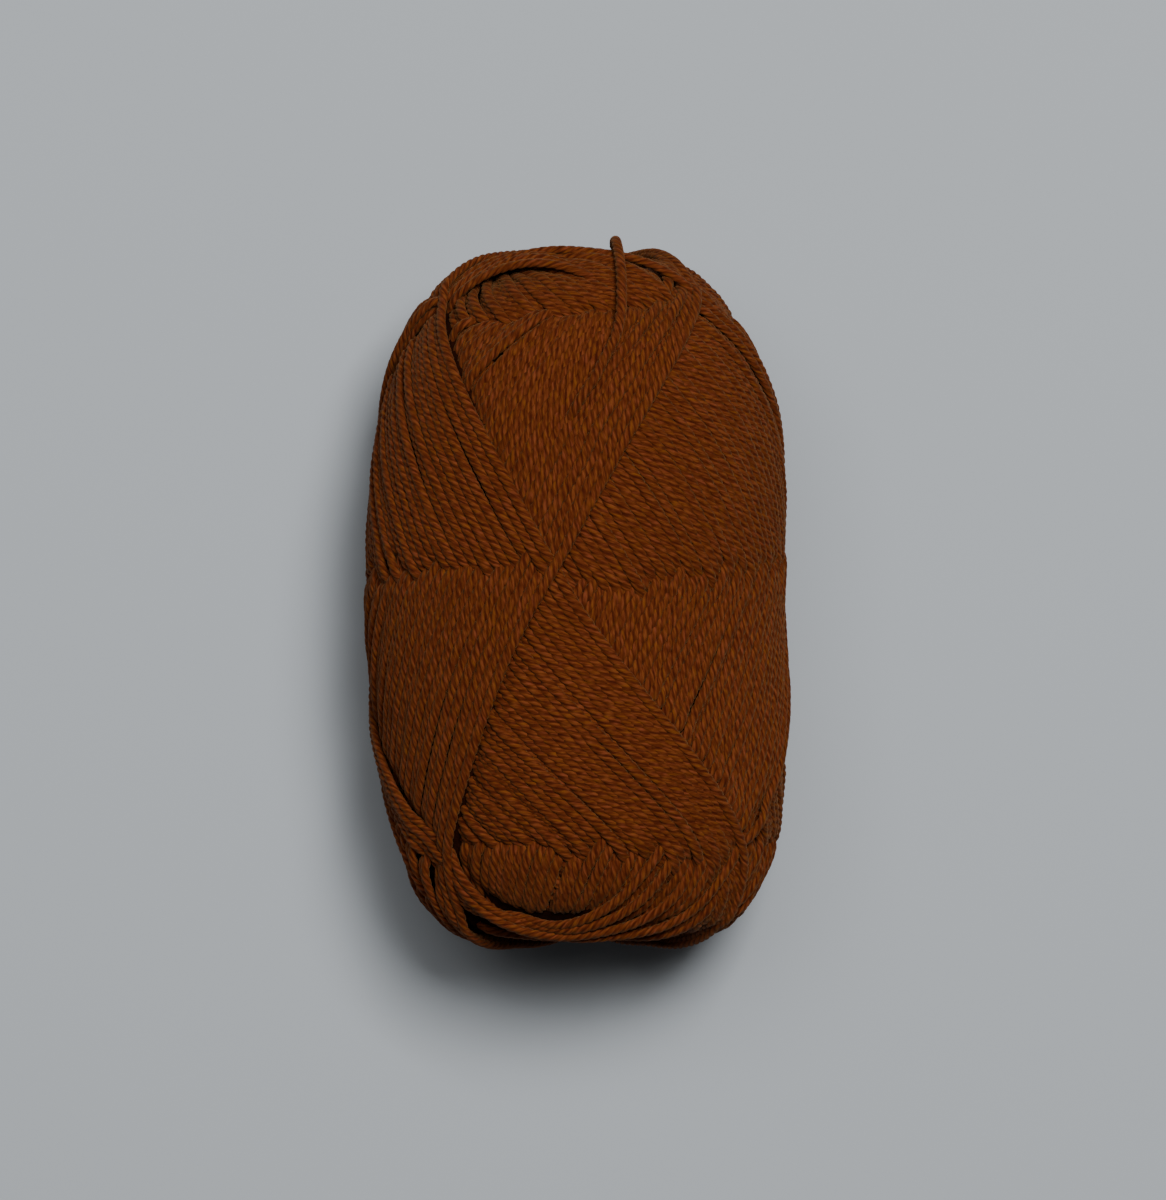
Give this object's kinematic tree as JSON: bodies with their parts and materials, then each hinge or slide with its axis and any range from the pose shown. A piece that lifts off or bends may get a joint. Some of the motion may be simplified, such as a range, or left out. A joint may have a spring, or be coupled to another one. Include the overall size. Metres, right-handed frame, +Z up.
{
  "type": "yarn ball",
  "caption": "Oval machine-wound ball of smooth plied rust-brown yarn lying on its side, with crossing passes, domed ends and its loose end tucked over one end.",
  "frame": {"origin": "middle of the footprint of the ball, on the surface it rests on", "axes": "+Y along the ball's long winding axis, towards the end that holds the loose end; +Z up"},
  "size_m": [0.0694, 0.1156, 0.0617],
  "materials": {
    "wound yarn": "matte plied yarn",
    "loose yarn": "matte plied yarn"
  },
  "bodies": {
    "root": {"wound_ball": "wound yarn", "loose_end": "loose yarn"}
  },
  "joints": []
}
